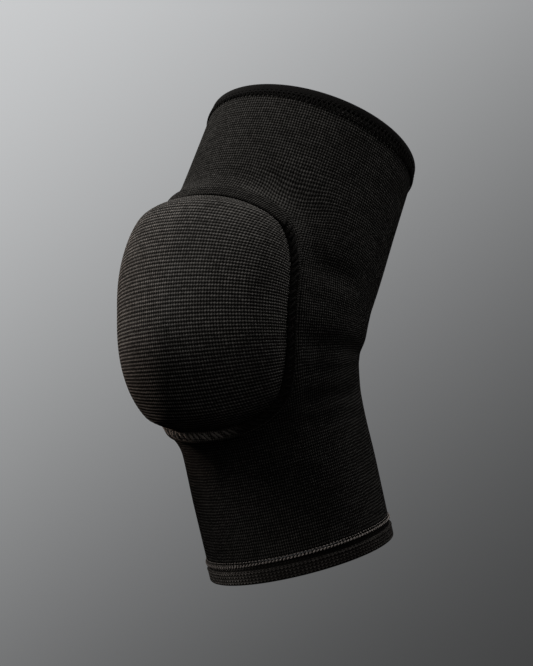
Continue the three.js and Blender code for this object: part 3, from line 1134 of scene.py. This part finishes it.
class KNEEPAD_OT_stage(bpy.types.Operator):
    """Sets the floor, the backdrop with its painted light falloff, the lights and the camera"""

    bl_idname = "knee_pad.stage"
    bl_label = "Stage"

    # Spots: name, azimuth and elevation, distance, aim, width and blend of the cone, radius, power, colour
    spots = (
        ("key_light", -25, 28, 1.1, (-0.045, -0.02, 0.162), 23.0, 0.26, 0.006, 59.0, (1.0, 0.98, 0.95)),
        ("warm_light", -76, 15, 0.9, (-0.03, -0.05, -0.006), 11.4, 0.5, 0.02, 72.0, (1.0, 0.82, 0.72)),
        ("thigh_light", -76, 15, 0.9, (-0.03, -0.05, 0.119), 11.4, 0.5, 0.02, 60.0, (1.0, 0.98, 0.94)),
        ("shin_light", -10, 5, 1.1, (0.0, 0.05, -0.25), 15.2, 0.48, 0.006, 24.0, (1.0, 0.97, 0.93)),
    )
    # Soft lights, aimed at the knee: name, azimuth and elevation, distance, size, power, colour
    soft_lights = (
        ("low_light", 20, -15, 1.5, 0.8, 1.6, (1.0, 0.97, 0.94)),
        ("fill_light", 60, 18, 1.6, 1.2, 5.0, (1.0, 0.99, 0.98)),
        ("top_light", 5, 66, 0.9, 0.4, 5.0, (1.0, 0.99, 0.97)),
        ("side_light", 122, 66, 0.8, 0.4, 6.0, (1.0, 0.99, 0.97)),
        ("back_light", 160, 30, 1.8, 1.2, 18.0, (1.0, 1.0, 1.0)),
        ("rear_light", 225, 5, 1.6, 1.2, 26.0, (1.0, 1.0, 1.0)),
    )
    room_light = (0.02, 0.02, 0.02)
    floor_greys = (0.44, 0.48)
    wall_segments = 96
    half_sensor = 18        # half the camera's sensor along the picture's height, in millimetres
    picture_size = (533, 666)
    far_clip = 50
    # Grey of the backdrop in the picture, from its top left to its bottom right corner: a painted falloff
    # of light, which the backdrop shows as its own glow
    light_grey = 0.79
    dark_grey = 0.27
    display_power = 2.2     # turns a grey of the picture into light
    rightwards = 0.38       # share of the fade that runs across the picture, and the rest runs down it
    even_share = 0.55       # share of the fade that is even, and the rest is steeper in its middle
    backdrop_tint = (0.985, 1.0, 1.015, 1.0)

    def direction(self, azimuth, elevation):
        """Unit vector from the knee towards an azimuth and an elevation."""
        level = math.cos(elevation)
        return Vector((math.sin(azimuth) * level, -math.cos(azimuth) * level, math.sin(elevation)))

    def aim(self, thing, place, target):
        """Puts a thing at a place, looking at a target with its top up."""
        thing.location = place
        thing.rotation_euler = (target - place).to_track_quat("-Z", "Y").to_euler()
        bpy.context.scene.collection.objects.link(thing)

    def add_lamp(self, name, kind, power, colour):
        """A lamp that the camera doesn't see."""
        lamp = bpy.data.objects.new(name, bpy.data.lights.new(name, kind))
        lamp.data.energy = power
        lamp.data.color = colour
        lamp.visible_camera = False
        return lamp

    def hang(self, lamp, azimuth, elevation, distance, target):
        """Puts a lamp at a distance from the knee, by angles in degrees, and aims it."""
        away = self.direction(math.radians(azimuth), math.radians(elevation))
        self.aim(lamp, distance * away, Vector(target))

    def light_knee(self):
        """Hangs all the lamps."""
        for name, azimuth, elevation, distance, target, cone, blend, radius, power, colour in self.spots:
            lamp = self.add_lamp(name, "SPOT", power, colour)
            lamp.data.spot_size = math.radians(cone)
            lamp.data.spot_blend = blend
            lamp.data.shadow_soft_size = radius
            self.hang(lamp, azimuth, elevation, distance, target)
        for name, azimuth, elevation, distance, size, power, colour in self.soft_lights:
            lamp = self.add_lamp(name, "AREA", power, colour)
            lamp.data.size = size
            self.hang(lamp, azimuth, elevation, distance, (0, 0, 0))

    def even_material(self, name):
        """A material that shows only its own light: itself, a wire to its tree and its shader's sockets."""
        material, wire, sockets = new_material(name)
        sockets["Base Color"].default_value = (0, 0, 0, 1)
        sockets["Specular IOR Level"].default_value = 0
        sockets["Emission Strength"].default_value = 1
        return material, wire, sockets

    def backdrop_material(self, stage, camera_place, towards, right):
        """Glowing grey that darkens to the right and downwards across the picture: painted light falloff.
        """
        material, wire, sockets = self.even_material("backdrop_grey")
        reach = (stage.room + stage.distance * math.cos(stage.elevation)) / math.cos(stage.elevation)
        middle = camera_place + towards * reach
        half_height = reach * self.half_sensor / stage.lens
        half_width = half_height * self.picture_size[0] / self.picture_size[1]
        place = object_place(wire)
        across = wire.node(
            "ShaderNodeVectorMath", {"operation": "DOT_PRODUCT"}, {0: place, 1: right}, output="Value")
        height = wire.node("ShaderNodeSeparateXYZ", None, {"Vector": place}, output="Z")
        x = (0.5 + (across - middle.dot(right)) * (0.5 / half_width)).limit()
        y = (0.5 - (height - middle.z) * (0.5 / half_height)).limit()
        fade = self.rightwards * x + (1 - self.rightwards) * y
        fade = self.even_share * fade + (1 - self.even_share) * fade * fade * (3 - 2 * fade)
        grey = (self.light_grey - (self.light_grey - self.dark_grey) * fade) ** self.display_power
        wire.feed(sockets["Emission Color"], grey.mix((0, 0, 0, 1), self.backdrop_tint))
        return material

    def floor_material(self):
        """Pale floor with a faint mottle."""
        material, wire, sockets = self.even_material("floor_pale")
        mottle = noise(wire, object_place(wire), scale=3.0, detail=3.0)
        wire.feed(sockets["Emission Color"], mottle.shade((1, 1, 1), self.floor_greys))
        return material

    def execute(self, context):
        scene = context.scene
        stage = scene.knee_pad.stage
        towards = -self.direction(stage.azimuth, stage.elevation)
        right = towards.cross(Vector((0, 0, 1))).normalized()
        target = stage.aim_right * right + stage.aim_up * right.cross(towards)
        camera = bpy.data.objects.new("camera", bpy.data.cameras.new("camera"))
        camera.data.lens = stage.lens
        camera.data.clip_end = self.far_clip
        self.aim(camera, target - towards * stage.distance, target)
        scene.camera = camera

        floor = bmesh.new()
        bmesh.ops.create_circle(floor, cap_ends=True, segments=self.wall_segments, radius=stage.room)
        bmesh.ops.translate(floor, verts=floor.verts, vec=(0, 0, stage.floor))
        wall = bmesh.new()
        rim = bmesh.ops.create_circle(wall, segments=self.wall_segments, radius=stage.room)["verts"]
        bmesh.ops.translate(wall, verts=rim, vec=(0, 0, stage.floor))
        raised = bmesh.ops.extrude_edge_only(wall, edges=wall.edges)["geom"]
        raised = [item for item in raised if isinstance(item, bmesh.types.BMVert)]
        bmesh.ops.translate(wall, verts=raised, vec=(0, 0, stage.room))
        grey = self.backdrop_material(stage, camera.location, towards, right)
        pale = self.floor_material()
        for shown in (add_object("floor", floor, pale), add_object("backdrop", wall, grey)):
            shown.visible_diffuse = False
            shown.visible_glossy = False

        self.light_knee()
        scene.world = bpy.data.worlds.new("studio")
        scene.world.color = self.room_light
        scene.view_settings.view_transform = "Standard"
        return {"FINISHED"}


class KNEEPAD_PT_panel(bpy.types.Panel):
    """Lists the operators and the settings of the knee pad."""

    bl_idname = "KNEEPAD_PT_panel"
    bl_label = "Knee Pad"
    bl_space_type = "VIEW_3D"
    bl_region_type = "UI"
    bl_category = "Knee Pad"

    def draw(self, context):
        for operator in OPERATORS:
            self.layout.operator(operator.bl_idname)
        settings = context.scene.knee_pad
        for group in (settings.leg, settings.sleeve, settings.pad, settings.finishes, settings.stage):
            box = self.layout.box()
            for name in group.__annotations__:
                box.prop(group, name)


GROUPS = (LegForm, SleeveForm, PadForm, Finishes, StageForm, KneePadSettings)
OPERATORS = (
    KNEEPAD_OT_pad, KNEEPAD_OT_seam, KNEEPAD_OT_binding, KNEEPAD_OT_hem, KNEEPAD_OT_sleeve,
    KNEEPAD_OT_stage)


def register():
    """Registers the settings, the operators and the panel."""
    for kind in (*GROUPS, *OPERATORS, KNEEPAD_PT_panel):
        bpy.utils.register_class(kind)
    bpy.types.Scene.knee_pad = PointerProperty(
        type=KneePadSettings, name="Knee Pad", description="Sizes and colours of the knee pad")


def unregister():
    """Takes back what register did."""
    del bpy.types.Scene.knee_pad
    for kind in reversed((*GROUPS, *OPERATORS, KNEEPAD_PT_panel)):
        bpy.utils.unregister_class(kind)


def main():
    """Builds the knee pad on its stage."""
    register()
    bpy.ops.knee_pad.pad()
    bpy.ops.knee_pad.seam()
    bpy.ops.knee_pad.binding()
    bpy.ops.knee_pad.hem()
    bpy.ops.knee_pad.sleeve()
    bpy.ops.knee_pad.stage()


if __name__ == "__main__":
    main()
